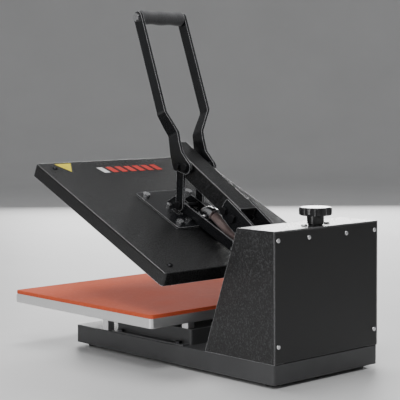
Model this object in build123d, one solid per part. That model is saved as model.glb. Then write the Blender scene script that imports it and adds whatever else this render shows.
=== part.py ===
from build123d import *
import math
import os

# Clamshell tabletop press. Millimetres, +Z up, +Y to the back, -Y towards the operator.
# The origin is the centre of the base's footprint, on the surface that the feet stand on.
# The press is drawn open: the heated platen is raised and the handle stands up.

# ---------------------------------------------------------------- driving dimensions

PLATEN_SIDE = 380.0
PLATEN_CORNER = 6.0

FOOT_HEIGHT = 6.0
BASE_WIDTH = 240.0
BASE_LENGTH = 495.0
BASE_HEIGHT = 31.0
SHEET = 2.0

TOWER_WIDTH = 239.0
TOWER_HEIGHT = 203.6
TOWER_FOOT_DEPTH = 155.0
TOWER_TOP_DEPTH = 80.0
SLOT_WIDTH = 84.0

LOWER_PLATEN_Z = 75.0
LOWER_PLATEN_THICKNESS = 16.0
PAD_THICKNESS = 6.0
PLATEN_BACK_Y = 43.5
CLOSED_GAP = 0.3
HEATER_STACK = 24.7
HEATING_PLATE_THICKNESS = 14.0

HINGE_Y = 162.5
HINGE_Z = 64.0
SHAFT_RADIUS = 8.0
RUNNING_FIT = 0.03
OPEN_ANGLE = 25.0

CHANNEL_WIDTH = 40.0
CHANNEL_WALL = 3.0
UPPER_CHANNEL_DEPTH = 31.0
UPPER_CHANNEL_LENGTH = 205.0
UPPER_CHANNEL_ANGLE = 31.0
UPPER_CHANNEL_REAR = (71.7, 257.4)
LOWER_CHANNEL_DEPTH = 19.0

HANDLE_PIVOT = (-51.0, 321.3)
CRANK_LENGTH = 20.0
CRANK_ANGLE = 177.0
LINK_FOOT_REACH = 176.0
LINK_FOOT_HEIGHT = 14.5
LINK_RADIUS = 9.0
GRIP_AXIS = (-148.5, 580.0)
BAR_THICKNESS = 5.0
BAR_SPREAD = 50.0
GRIP_RADIUS = 12.5

KNOB_Y = 221.5
KNOB_RADIUS = 26.0

# ---------------------------------------------------------------- derived places

BASE_TOP = FOOT_HEIGHT + BASE_HEIGHT
BACK_Y = BASE_LENGTH / 2
TOWER_TOP = BASE_TOP + TOWER_HEIGHT
TOWER_FOOT_Y = BACK_Y - TOWER_FOOT_DEPTH
TOWER_FRONT_TOP_Y = BACK_Y - TOWER_TOP_DEPTH
FACE_LEAN = math.degrees(math.atan2(TOWER_FOOT_DEPTH - TOWER_TOP_DEPTH, TOWER_HEIGHT))
PLATEN_MID_Y = PLATEN_BACK_Y - PLATEN_SIDE / 2
PAD_TOP = LOWER_PLATEN_Z + LOWER_PLATEN_THICKNESS + PAD_THICKNESS
COVER_TOP = PAD_TOP + CLOSED_GAP + HEATER_STACK
FLANGE = CHANNEL_WIDTH / 2
LINK_INNER = FLANGE + 1.0
LINK_THICKNESS = 4.0
CHEEK_INNER = LINK_INNER + LINK_THICKNESS + 0.5
CHEEK_OUTER = CHEEK_INNER + BAR_THICKNESS
HINGE_AXIS = Axis((0, HINGE_Y, HINGE_Z), (1, 0, 0))


def turned(point, angle, centre=(HINGE_Y, HINGE_Z)):
    """A (y, z) point turned about a centre. A positive angle lowers the front of the press."""
    turn = math.radians(angle)
    y = point[0] - centre[0]
    z = point[1] - centre[1]
    new_y = centre[0] + y * math.cos(turn) - z * math.sin(turn)
    new_z = centre[1] + y * math.sin(turn) + z * math.cos(turn)
    return (new_y, new_z)


def bearing(start, end):
    """Direction of a (y, z) line in degrees, measured from +Y towards +Z, from 0 to 360."""
    return math.degrees(math.atan2(end[1] - start[1], end[0] - start[0])) % 360


def on_cover(reach, height):
    """The (y, z) of a point of the closed upper platen, from its back edge and its top face."""
    return (PLATEN_BACK_Y - reach, COVER_TOP + height)


def linkage():
    """The toggle: where its pivots are with the press open, and how far each piece turns to close.

    The link's foot moves on a circle about the hinge. The press is closed when the crank, from the
    handle's pivot to the link's head, and the link stand in one line.
    """
    hinge = (HINGE_Y, HINGE_Z)
    foot = turned(on_cover(LINK_FOOT_REACH, LINK_FOOT_HEIGHT), -OPEN_ANGLE)
    crank = math.radians(CRANK_ANGLE)
    head_y = HANDLE_PIVOT[0] + CRANK_LENGTH * math.cos(crank)
    head_z = HANDLE_PIVOT[1] + CRANK_LENGTH * math.sin(crank)
    head = (head_y, head_z)
    link = math.dist(head, foot)
    pivot_radius = math.dist(hinge, HANDLE_PIVOT)
    foot_radius = math.dist(hinge, foot)
    straight = CRANK_LENGTH + link
    cosine = (pivot_radius**2 + foot_radius**2 - straight**2) / (2 * pivot_radius * foot_radius)
    spread = math.degrees(math.acos(cosine)) - (bearing(hinge, foot) - bearing(hinge, HANDLE_PIVOT))
    closed_line = bearing(HANDLE_PIVOT, turned(foot, spread))
    return {
        "head": head,
        "foot": foot,
        "spread": spread,
        "swing": OPEN_ANGLE - spread,
        "handle_turn": closed_line - CRANK_ANGLE,
        "link_turn": closed_line - bearing(head, foot),
    }


LINKAGE = linkage()
LINK_HEAD = LINKAGE["head"]
LINK_FOOT = LINKAGE["foot"]

PARTS = {}


# ---------------------------------------------------------------- shape helpers

def block(x_range, y_range, z_range):
    """A box between two corners."""
    size = [end - start for start, end in (x_range, y_range, z_range)]
    middle = [(end + start) / 2 for start, end in (x_range, y_range, z_range)]
    return Pos(*middle) * Box(*size)


def rod_x(radius, x_start, x_end, point):
    """A round bar along X through a (y, z) point."""
    return Pos((x_start + x_end) / 2, point[0], point[1]) * Rot(Y=90) * Cylinder(radius, x_end - x_start)


def rod_z(radius, z_start, z_end, x, y):
    """A round bar along Z."""
    return Pos(x, y, (z_start + z_end) / 2) * Cylinder(radius, z_end - z_start)


def side_plate(outline, x_start, x_end):
    """A plate that stands across X, from an outline drawn in (y, z)."""
    return extrude(Plane.YZ.offset(x_start) * outline, x_end - x_start)


def outline(points, radius):
    """A closed outline with its corners rounded."""
    face = make_face(Polyline(*points, close=True))
    return fillet(face.vertices(), radius) if radius else face


def bar_outline(start, end, radius):
    """A flat bar's outline: two round ends and straight sides."""
    middle = ((start[0] + end[0]) / 2, (start[1] + end[1]) / 2)
    slot = SlotCenterToCenter(math.dist(start, end), 2 * radius)
    return Pos(*middle) * Rot(Z=bearing(start, end)) * slot


def rounded_box(size_x, size_y, z_start, z_end, corner):
    """A flat slab about Z with round upright corners."""
    return Pos(0, 0, z_start) * extrude(RectangleRounded(size_x, size_y, corner), z_end - z_start)


def hex_bolt(diameter, length):
    """A hexagon bolt: the head rests on z = 0 and the shank goes down."""
    height = 0.62 * diameter
    radius = 0.92 * diameter
    head = extrude(RegularPolygon(radius, 6), height)
    head = head & Pos(0, 0, height / 2) * Cone(1.2 * radius, 0.88 * radius, height)
    return head + Pos(0, 0, -length / 2) * Cylinder(diameter / 2, length)


def pan_screw(diameter, length):
    """A pan-head screw with a cross recess: the head rests on z = 0 and the shank goes down."""
    head_radius = 0.95 * diameter
    head_height = 0.6 * diameter
    head = Pos(0, 0, head_height / 2) * Cylinder(head_radius, head_height)
    head = fillet(head.faces().sort_by(Axis.Z)[-1].edges(), 0.8 * head_height)
    recess = Pos(0, 0, head_height) * (Box(1.3 * diameter, 0.22 * diameter, 0.6 * head_height)
                                       + Box(0.22 * diameter, 1.3 * diameter, 0.6 * head_height))
    return head - recess + Pos(0, 0, -length / 2) * Cylinder(diameter / 2, length)


def placed(shape, origin, direction):
    """A shape moved to an origin, with its own +Z turned to a direction."""
    return Plane(origin=origin, z_dir=direction).location * shape


def opened(shape):
    """A shape drawn on the closed upper platen, turned up to the open place."""
    return shape.rotate(HINGE_AXIS, -OPEN_ANGLE)


def group(shapes):
    """Separate solids kept together as one sub-part."""
    return Compound(children=[solid for shape in shapes for solid in shape.solids()])


def mirrored_pair(name, shape):
    """The operator's right-hand piece as drawn, and its mirror image on the left."""
    PARTS[name + "_right"] = shape
    PARTS[name + "_left"] = mirror(shape, about=Plane.YZ)


def both_sides(shapes):
    """Shapes drawn at +X, with their mirror images at -X."""
    return list(shapes) + [mirror(shape, about=Plane.YZ) for shape in shapes]


def on_face(across, along, shape):
    """A shape set on the tower's slanted front: its z = 0 is the sheet's outer face."""
    lean = math.radians(FACE_LEAN)
    y = TOWER_FOOT_Y + along * math.sin(lean)
    z = BASE_TOP + along * math.cos(lean)
    face = Plane(origin=(across, y, z), x_dir=(1, 0, 0), z_dir=(0, -math.cos(lean), math.sin(lean)))
    return face.location * shape


# ---------------------------------------------------------------- base

FOOT_PLACES = [(x, y) for x in (-98, 98) for y in (-222, 222)]
POST_PLACES = [(x, -167.5) for x in (-110, 110)]
SPACER_PLACES = [(x, y) for x in (-95, 95) for y in (-135, 25)]
TOWER_BOLT_PLACES = [(x, y) for x in (-105, 105) for y in (112, 230)]
BRACKET_BOLT_PLACES = [(x, y) for x in (-44, 44) for y in (147, 178)]
PEDESTAL_BOLT_PLACES = [(x, y) for x in (-112, 112) for y in (-130, 20)]
PEDESTAL_TOP = LOWER_PLATEN_Z - 12.0
POST_SIDE = 15.0


def make_base():
    outer = rounded_box(BASE_WIDTH, BASE_LENGTH, FOOT_HEIGHT, BASE_TOP, 5)
    outer = fillet(outer.faces().sort_by(Axis.Z)[-1].edges(), 1.5)
    inner_top = BASE_TOP - SHEET
    inner = rounded_box(BASE_WIDTH - 2 * SHEET, BASE_LENGTH - 2 * SHEET, FOOT_HEIGHT, inner_top, 3)
    base = outer - inner
    for x, y in FOOT_PLACES:
        base += block((x - 16, x + 16), (y - 16, y + 16), (FOOT_HEIGHT, FOOT_HEIGHT + 3))
        edge_x = math.copysign(BASE_WIDTH / 2 - SHEET, x)
        edge_y = math.copysign(BACK_Y - SHEET, y)
        base += block(sorted((x, edge_x)), (y - 16, y + 16), (FOOT_HEIGHT, FOOT_HEIGHT + 3))
        base += block((x - 16, x + 16), sorted((y, edge_y)), (FOOT_HEIGHT, FOOT_HEIGHT + 3))
        base -= rod_z(3.1, FOOT_HEIGHT - 1, FOOT_HEIGHT + 4, x, y)
    for x, y in POST_PLACES + TOWER_BOLT_PLACES + BRACKET_BOLT_PLACES + PEDESTAL_BOLT_PLACES:
        base -= rod_z(3.1, inner_top - 1, BASE_TOP + 1, x, y)
    for x in (-SPRING_X, SPRING_X):
        base += rod_z(SPRING_RADIUS + SPRING_WIRE, BASE_TOP, SPRING_FOOT - SPRING_WIRE, x, SPRING_Y)
        base += rod_z(SPRING_RADIUS - SPRING_WIRE - 0.05, BASE_TOP, SPRING_FOOT + 6, x, SPRING_Y)
    PARTS["base_frame"] = base

    feet = []
    for x, y in FOOT_PLACES:
        foot = Pos(x, y, FOOT_HEIGHT / 2) * Cone(11, 13, FOOT_HEIGHT)
        foot += rod_z(3.0, FOOT_HEIGHT, FOOT_HEIGHT + 3, x, y)
        foot += rod_z(6, FOOT_HEIGHT + 3, FOOT_HEIGHT + 5, x, y)
        feet.append(foot)
    PARTS["rubber_feet"] = group(feet)


def make_pedestal_and_lower_platen():
    outer = block((-104, 104), (-150.5, 42.5), (BASE_TOP, PEDESTAL_TOP))
    pedestal = fillet(outer.edges().filter_by(Axis.Z), 4)
    pedestal -= block((-102, 102), (-148.5, 40.5), (BASE_TOP, PEDESTAL_TOP - SHEET))
    for side in (-1, 1):
        pedestal += block(sorted((side * 103, side * 118)), (-146, 38), (BASE_TOP, BASE_TOP + SHEET))
    for x, y in PEDESTAL_BOLT_PLACES:
        pedestal -= rod_z(3.1, BASE_TOP - 1, BASE_TOP + SHEET + 1, x, y)
    for x, y in SPACER_PLACES:
        pedestal -= rod_z(3.1, PEDESTAL_TOP - SHEET - 1, PEDESTAL_TOP + 1, x, y)
    PARTS["platen_pedestal"] = pedestal

    posts = []
    for places, foot in ((POST_PLACES, BASE_TOP), (SPACER_PLACES, PEDESTAL_TOP)):
        for x, y in places:
            half = POST_SIDE / 2
            post = block((x - half, x + half), (y - half, y + half), (foot, LOWER_PLATEN_Z))
            post = chamfer(post.edges().filter_by(Axis.Z), 0.8)
            posts.append(post - rod_z(3.05, foot - 1, LOWER_PLATEN_Z + 1, x, y))
    PARTS["platen_posts"] = group(posts)

    plate_top = LOWER_PLATEN_Z + LOWER_PLATEN_THICKNESS
    plate = rounded_box(PLATEN_SIDE, PLATEN_SIDE, LOWER_PLATEN_Z, plate_top, PLATEN_CORNER)
    plate = Pos(0, PLATEN_MID_Y, 0) * plate
    plate = chamfer(plate.faces().sort_by(Axis.Z)[0].edges(), 1.0)
    for x, y in POST_PLACES + SPACER_PLACES:
        plate -= rod_z(3.05, LOWER_PLATEN_Z - 1, LOWER_PLATEN_Z + 10, x, y)
    PARTS["lower_platen"] = plate
    pad_side = PLATEN_SIDE - 2
    pad = rounded_box(pad_side, pad_side, plate_top, PAD_TOP, PLATEN_CORNER)
    PARTS["silicone_pad"] = Pos(0, PLATEN_MID_Y, 0) * fillet(pad.faces().sort_by(Axis.Z)[-1].edges(), 1.0)


def make_base_bolts():
    """Every bolt that holds something to the base or under the lower platen."""
    bolts = []
    under_base = BASE_TOP - SHEET
    for x, y in POST_PLACES:
        bolts.append(placed(hex_bolt(6, LOWER_PLATEN_Z + 8 - under_base), (x, y, under_base), (0, 0, -1)))
    for x, y in SPACER_PLACES:
        under = PEDESTAL_TOP - SHEET
        bolts.append(placed(hex_bolt(6, LOWER_PLATEN_Z + 8 - under), (x, y, under), (0, 0, -1)))
    for x, y in TOWER_BOLT_PLACES + PEDESTAL_BOLT_PLACES:
        bolts.append(placed(hex_bolt(6, 2 * SHEET + 4), (x, y, BASE_TOP + SHEET), (0, 0, 1)))
    for x, y in BRACKET_BOLT_PLACES:
        bolt = hex_bolt(6, BRACKET_THICKNESS + SHEET + 4)
        bolts.append(placed(bolt, (x, y, BASE_TOP + BRACKET_THICKNESS), (0, 0, 1)))
    PARTS["base_bolts"] = group(bolts)


# ---------------------------------------------------------------- tower

SLOT_BOTTOM = 30.0
SLOT_TOP = 188.0
PANEL_X = 80.0
PANEL_ALONG = 150.0
SWITCH_ALONG = 150.0
INLET_Y = 205.0
INLET_Z = 70.0
BACK_FLANGE = 13.0
COVER_GAP = 0.8
COVER_SCREW_PLACES = [(-111, 226), (-43, 226), (43, 226), (111, 226), (-111, 64), (111, 64)]


def tower_profile(inset):
    """Side view of the tower, drawn inwards by a distance; open at the bottom and back when inset."""
    lean = math.radians(FACE_LEAN)
    shift = inset / math.cos(lean)
    slope = math.tan(lean)
    top = TOWER_TOP - inset
    front_top = TOWER_FRONT_TOP_Y + shift - inset * slope
    floor = BASE_TOP if inset == 0 else BASE_TOP - 1
    front_foot = TOWER_FOOT_Y + shift - (BASE_TOP - floor) * slope
    back = BACK_Y if inset == 0 else BACK_Y + 1
    return [(back, floor), (front_foot, floor), (front_top, top), (back, top)]


def make_tower():
    half = TOWER_WIDTH / 2
    shell = side_plate(outline(tower_profile(0), 0), -half, half)
    long_edges = shell.edges().filter_by(Axis.X).group_by(Axis.Z)[-1]
    shell = fillet(long_edges.sort_by(Axis.Y)[0:1], 3.0)
    shell -= side_plate(outline(tower_profile(SHEET), 0), -half + SHEET, half - SHEET)
    # Inward flanges: the back cover is screwed to the upright ones, the base bolts hold the low ones.
    flange_back = BACK_Y - SHEET
    flange_y = (flange_back - SHEET, flange_back)
    for side in (-1, 1):
        x_range = sorted((side * (half - SHEET), side * (half - SHEET - BACK_FLANGE)))
        shell += block(x_range, flange_y, (BASE_TOP + SHEET, TOWER_TOP - SHEET))
        low_x = sorted((side * (half - SHEET), side * (half - SHEET - 20)))
        shell += block(low_x, (102, flange_back), (BASE_TOP, BASE_TOP + SHEET))
    shell += block((-half + SHEET, half - SHEET), flange_y, (TOWER_TOP - 20, TOWER_TOP - SHEET))
    for x, y in TOWER_BOLT_PLACES:
        shell -= rod_z(3.1, BASE_TOP - 1, BASE_TOP + SHEET + 1, x, y)
    for x, z in COVER_SCREW_PLACES:
        shell -= placed(Cylinder(2.05, 8), (x, flange_back - 1, z), (0, 1, 0))
    slot = Pos(0, (SLOT_BOTTOM + SLOT_TOP) / 2) * RectangleRounded(SLOT_WIDTH, SLOT_TOP - SLOT_BOTTOM, 6)
    shell -= on_face(0, 0, extrude(slot, 4, both=True))
    window = extrude(RectangleRounded(58, 62, 2), 4, both=True)
    shell -= on_face(PANEL_X, PANEL_ALONG, window)
    shell -= on_face(-PANEL_X, SWITCH_ALONG, extrude(Rectangle(20.2, 30.2), 4, both=True))
    inlet_z = (INLET_Z - 24.1, INLET_Z + 24.1)
    shell -= block((-half - 1, -half + SHEET + 1), (INLET_Y - 14.1, INLET_Y + 14.1), inlet_z)
    shell -= rod_z(8.5, TOWER_TOP - SHEET - 1, TOWER_TOP + 1, 0, KNOB_Y)
    for x in (-26, 26):
        shell -= rod_z(2.6, TOWER_TOP - SHEET - 1, TOWER_TOP + 1, x, KNOB_Y)
    PARTS["tower_shell"] = shell

    cover_half = half - SHEET - COVER_GAP
    cover_top = TOWER_TOP - SHEET - COVER_GAP
    cover = block((-cover_half, cover_half), (flange_back, BACK_Y), (BASE_TOP + 1, cover_top))
    cover = fillet(cover.edges().filter_by(Axis.Y), 2.0)
    for x, z in COVER_SCREW_PLACES:
        cover -= placed(Cylinder(2.2, 6), (x, flange_back, z), (0, 1, 0))
    PARTS["back_cover"] = cover
    screws = [placed(pan_screw(4, 8), (x, BACK_Y, z), (0, 1, 0)) for x, z in COVER_SCREW_PLACES]
    screws += [placed(pan_screw(5, 11), (x, KNOB_Y, TOWER_TOP), (0, 0, 1)) for x in (-26, 26)]
    PARTS["tower_screws"] = group(screws)


BRACKET_THICKNESS = 6.0
BRACKET_INNER = 27.5


def make_hinge():
    """The two brackets in the tower, the shaft that both arms turn on, and its circlips."""
    lobe = make_hull(bracket_edges())
    upright = side_plate(lobe, BRACKET_INNER, BRACKET_INNER + BRACKET_THICKNESS)
    foot = block((BRACKET_INNER, BRACKET_INNER + 26), (137, 188), (BASE_TOP, BASE_TOP + BRACKET_THICKNESS))
    bracket = upright + foot
    bracket -= rod_x(SHAFT_RADIUS, BRACKET_INNER - 1, BRACKET_INNER + 8, (HINGE_Y, HINGE_Z))
    for y in (147, 178):
        bracket -= rod_z(3.1, BASE_TOP - 1, BASE_TOP + 8, 44, y)
    mirrored_pair("hinge_bracket", bracket)
    clip_x = BRACKET_INNER + BRACKET_THICKNESS
    shaft = rod_x(SHAFT_RADIUS, -clip_x - 4, clip_x + 4, (HINGE_Y, HINGE_Z))
    shaft = chamfer(shaft.edges().filter_by(GeomType.CIRCLE), 0.8)
    clips = []
    for side in (-1, 1):
        ends = sorted((side * clip_x, side * (clip_x + 1.2)))
        shaft -= rod_x(9, *ends, (HINGE_Y, HINGE_Z)) - rod_x(7.2, *ends, (HINGE_Y, HINGE_Z))
        clip = rod_x(12, *ends, (HINGE_Y, HINGE_Z)) - rod_x(7.2, *ends, (HINGE_Y, HINGE_Z))
        clips.append(clip - block(ends, (HINGE_Y - 2.5, HINGE_Y + 2.5), (HINGE_Z - 13, HINGE_Z)))
    PARTS["main_shaft"] = shaft
    PARTS["shaft_circlips"] = group(clips)


def bracket_edges():
    """Edges that the bracket's upright is stretched around: its foot line and the shaft's lobe."""
    foot = Line((140, BASE_TOP), (185, BASE_TOP))
    lobe = Pos(HINGE_Y, HINGE_Z) * Circle(17)
    return [foot.edge(), *lobe.edges()]


CROSSBAR_RISE = 50.0
CROSSBAR_RADIUS = 6.0
CROSSBAR_CLOSED = (KNOB_Y, HINGE_Z + CROSSBAR_RISE)
CROSSBAR_OPEN = turned(CROSSBAR_CLOSED, -LINKAGE["swing"])
BLOCK_BOTTOM = CROSSBAR_CLOSED[1] + CROSSBAR_RADIUS + 0.3
BLOCK_HEIGHT = 26.0
BLOCK_FLOOR = 4.0
BLOCK_TRAVEL = 6.0
SCREW_RADIUS = 7.0
SPRING_X = 34.0
SPRING_Y = CROSSBAR_OPEN[0]
SPRING_FOOT = BASE_TOP + 8
SPRING_RADIUS = 6.0
SPRING_WIRE = 1.1
SPRING_TURNS = 12


def make_pressure_screw():
    """The knob and its screw turn in the tower's top; the nut block climbs between the bracket's cheeks."""
    bracket_top = TOWER_TOP - SHEET
    plate = block((-34, 34), (KNOB_Y - 15, KNOB_Y + 15), (bracket_top - 5, bracket_top))
    for side in (-1, 1):
        x_range = sorted((side * 15.4, side * 18.4))
        plate += block(x_range, (KNOB_Y - 12, KNOB_Y + 12), (BLOCK_BOTTOM + 6, bracket_top - 5))
    plate -= rod_z(SCREW_RADIUS + RUNNING_FIT, bracket_top - 6, bracket_top + 1, 0, KNOB_Y)
    for x in (-26, 26):
        plate -= rod_z(2.6, bracket_top - 6, bracket_top + 1, x, KNOB_Y)
    PARTS["screw_bracket"] = plate

    screw_foot = BLOCK_BOTTOM + BLOCK_FLOOR + BLOCK_TRAVEL + 0.5
    screw = rod_z(SCREW_RADIUS, screw_foot, TOWER_TOP + 8, 0, KNOB_Y)
    screw = chamfer(screw.faces().sort_by(Axis.Z)[0].edges(), 1.0)
    screw += rod_z(11, bracket_top - 5 - 6.3, bracket_top - 5 - 0.3, 0, KNOB_Y)
    PARTS["pressure_screw"] = screw

    washer = rod_z(12, TOWER_TOP + 0.3, TOWER_TOP + 2, 0, KNOB_Y)
    hub = rod_z(13.5, TOWER_TOP + 2, TOWER_TOP + 15, 0, KNOB_Y)
    head = rod_z(KNOB_RADIUS, TOWER_TOP + 15, TOWER_TOP + 28, 0, KNOB_Y)
    head = fillet(head.edges().filter_by(GeomType.CIRCLE), 3.0)
    flutes = 10
    for index in range(flutes):
        turn = math.radians(360 * index / flutes)
        x = (KNOB_RADIUS + 3.2) * math.cos(turn)
        y = KNOB_Y + (KNOB_RADIUS + 3.2) * math.sin(turn)
        head -= rod_z(6.5, TOWER_TOP + 14, TOWER_TOP + 29, x, y)
    knob = washer + hub + head - rod_z(SCREW_RADIUS, TOWER_TOP, TOWER_TOP + 8, 0, KNOB_Y)
    PARTS["pressure_knob"] = knob

    nut = block((-15, 15), (KNOB_Y - 15, KNOB_Y + 15), (BLOCK_BOTTOM, BLOCK_BOTTOM + BLOCK_HEIGHT))
    nut = chamfer(nut.edges().filter_by(Axis.Z), 1.5)
    nut_bore = (BLOCK_BOTTOM + BLOCK_FLOOR, BLOCK_BOTTOM + BLOCK_HEIGHT + 1)
    nut -= rod_z(SCREW_RADIUS + 0.05, *nut_bore, 0, KNOB_Y)
    PARTS["nut_block"] = nut


def make_lift_springs():
    """Two extension springs from the base to the upper arm's crossbar hold the press open."""
    eye_radius = CROSSBAR_RADIUS + SPRING_WIRE + 0.1
    height = CROSSBAR_OPEN[1] - eye_radius - 3.0 - SPRING_FOOT
    path = Helix(height / SPRING_TURNS, height, SPRING_RADIUS)
    wire = sweep(Plane(path @ 0, z_dir=path % 0) * Circle(SPRING_WIRE), path=path, is_frenet=True)
    hook = Rot(Y=90) * Pos(0, 0, SPRING_RADIUS / 2) * Cylinder(SPRING_WIRE, SPRING_RADIUS)
    wire += Pos(0, 0, height) * hook
    wire += Pos(0, 0, height + 1.5) * Cylinder(SPRING_WIRE, 3.0)
    wire += Pos(0, 0, height) * Sphere(SPRING_WIRE)
    wire += Pos(0, 0, height + 3.0 + eye_radius) * Rot(Y=90) * Torus(eye_radius, SPRING_WIRE)
    for name, x in (("lift_spring_left", -SPRING_X), ("lift_spring_right", SPRING_X)):
        PARTS[name] = Pos(x, SPRING_Y, SPRING_FOOT) * wire


# ---------------------------------------------------------------- electrical parts

BUTTON_ROWS = [("button_set", -19), ("button_down", 0), ("button_up", 19)]
BUTTON_RISE = -22.0


def make_controls():
    """The temperature and time controller, the mains switch and the mains inlet."""
    bezel = extrude(RectangleRounded(70, 104, 5), 4)
    bezel = fillet(bezel.faces().sort_by(Axis.Z)[-1].edges(), 1.5)
    window_place = Pos(0, 14, 0)
    bezel -= window_place * Pos(0, 0, 1.5) * extrude(RectangleRounded(50, 34, 2), 4)
    bezel -= window_place * extrude(Rectangle(44, 28), 4, both=True)
    for _, across in BUTTON_ROWS:
        bezel -= Pos(across, BUTTON_RISE, -1) * extrude(RectangleRounded(13.6, 9.6, 2.4), 8)
    PARTS["controller_bezel"] = on_face(PANEL_X, PANEL_ALONG, bezel)
    window = window_place * Pos(0, 0, 1.5) * extrude(RectangleRounded(49.6, 33.6, 1.8), 1.6)
    PARTS["display_window"] = on_face(PANEL_X, PANEL_ALONG, window)
    case = Pos(0, 0, -34) * extrude(RectangleRounded(57, 61, 2), 34)
    case -= Pos(0, 0, -32) * extrude(Rectangle(53, 57), 34)
    for across, along in ((-20, -24), (20, -24), (-20, 24), (20, 24)):
        case += Pos(across, along, -32) * Pos(0, 0, 12) * Cylinder(3, 24)
    PARTS["controller_case"] = on_face(PANEL_X, PANEL_ALONG, case)
    board = Pos(0, 0, -8) * extrude(Rectangle(52, 56), 1.6)
    chips = [(-12, -10, 12, 8, 3), (10, -12, 9, 9, 2), (0, 14, 40, 22, 5)]
    for x, y, size_x, size_y, height in chips:
        board += Pos(x, y, -6.4 + height / 2) * Box(size_x, size_y, height)
    for name, across in BUTTON_ROWS:
        board += Pos(across, BUTTON_RISE, -5.4) * Box(6, 6, 2)
        cap = Pos(across, BUTTON_RISE, 0.8) * extrude(RectangleRounded(13, 9, 2.2), 5.0)
        cap = fillet(cap.faces().sort_by(Axis.Z)[-1].edges(), 0.8)
        cap += Pos(across, BUTTON_RISE, -1.0) * Cylinder(1.8, 4.0)
        PARTS[name] = on_face(PANEL_X, PANEL_ALONG, cap)
    PARTS["controller_board"] = on_face(PANEL_X, PANEL_ALONG, board)

    frame = extrude(RectangleRounded(25, 36, 2), 2.5)
    frame += Pos(0, 0, -22) * extrude(Rectangle(20, 30), 22)
    frame -= Pos(0, 0, -18) * extrude(Rectangle(16.6, 26.8), 22)
    frame -= Pos(0, 0, -ROCKER_PIVOT) * Rot(Y=90) * Cylinder(ROCKER_PIN + RUNNING_FIT, 19.2)
    PARTS["switch_frame"] = on_face(-PANEL_X, SWITCH_ALONG, frame)
    PARTS["power_rocker"] = on_face(-PANEL_X, SWITCH_ALONG, rocker_shape())

    x_wall = -TOWER_WIDTH / 2
    inlet = block((x_wall - 2.5, x_wall), (INLET_Y - 18, INLET_Y + 18), (INLET_Z - 28, INLET_Z + 28))
    inlet = fillet(inlet.edges().filter_by(Axis.X), 3)
    inlet += block((x_wall, x_wall + 26), (INLET_Y - 14, INLET_Y + 14), (INLET_Z - 24, INLET_Z + 24))
    socket = outline([(INLET_Y - 12, INLET_Z - 20), (INLET_Y + 12, INLET_Z - 20),
                      (INLET_Y + 12, INLET_Z - 7), (INLET_Y + 7, INLET_Z - 2),
                      (INLET_Y - 7, INLET_Z - 2), (INLET_Y - 12, INLET_Z - 7)], 1.5)
    inlet -= side_plate(socket, x_wall - 3, x_wall + 15)
    inlet += block((x_wall - 4.5, x_wall), (INLET_Y - 11, INLET_Y + 11), (INLET_Z + 5, INLET_Z + 21))
    for y, z in ((INLET_Y - 7, INLET_Z - 13), (INLET_Y + 7, INLET_Z - 13), (INLET_Y, INLET_Z - 8.5)):
        inlet += block((x_wall + 2, x_wall + 16), (y - 1, y + 1), (z - 2, z + 2))
    PARTS["power_inlet"] = inlet

    terminal = block((-88, -48), (198, 218), (BASE_TOP, BASE_TOP + 16))
    terminal += block((-88, -48), (204, 212), (BASE_TOP + 16, BASE_TOP + 24))
    for index in range(4):
        for y in (201, 215):
            terminal -= rod_z(2.4, BASE_TOP + 10, BASE_TOP + 17, -83 + 10 * index, y)
    PARTS["terminal_block"] = terminal


ROCKER_RADIUS = 19.0
ROCKER_TILT = 9.0
ROCKER_PIVOT = 14.0
ROCKER_PIN = 1.5


def rocker_shape():
    """The switch's rocker, a sector about its own pin, tilted to the off side."""
    sector = Rot(Y=90) * Cylinder(ROCKER_RADIUS, 16) & Pos(0, 0, ROCKER_RADIUS) * Box(16, 21, 20)
    dish = Pos(0, 0, ROCKER_RADIUS + 58.5) * Rot(Y=90) * Cylinder(60, 20)
    rocker = sector - dish + Pos(0, 0, 5) * Box(14, 4, 12)
    rocker += Rot(Y=90) * Cylinder(ROCKER_PIN, 19.0)
    return Pos(0, 0, -ROCKER_PIVOT) * Rot(X=-ROCKER_TILT) * rocker


# ---------------------------------------------------------------- upper arm

SIDE_BOLT_PLACES = [(40.0, 252.0), (60.0, 240.5)]
SIDE_PLATE = 5.0
BUSH_RADIUS = 11.0


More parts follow.
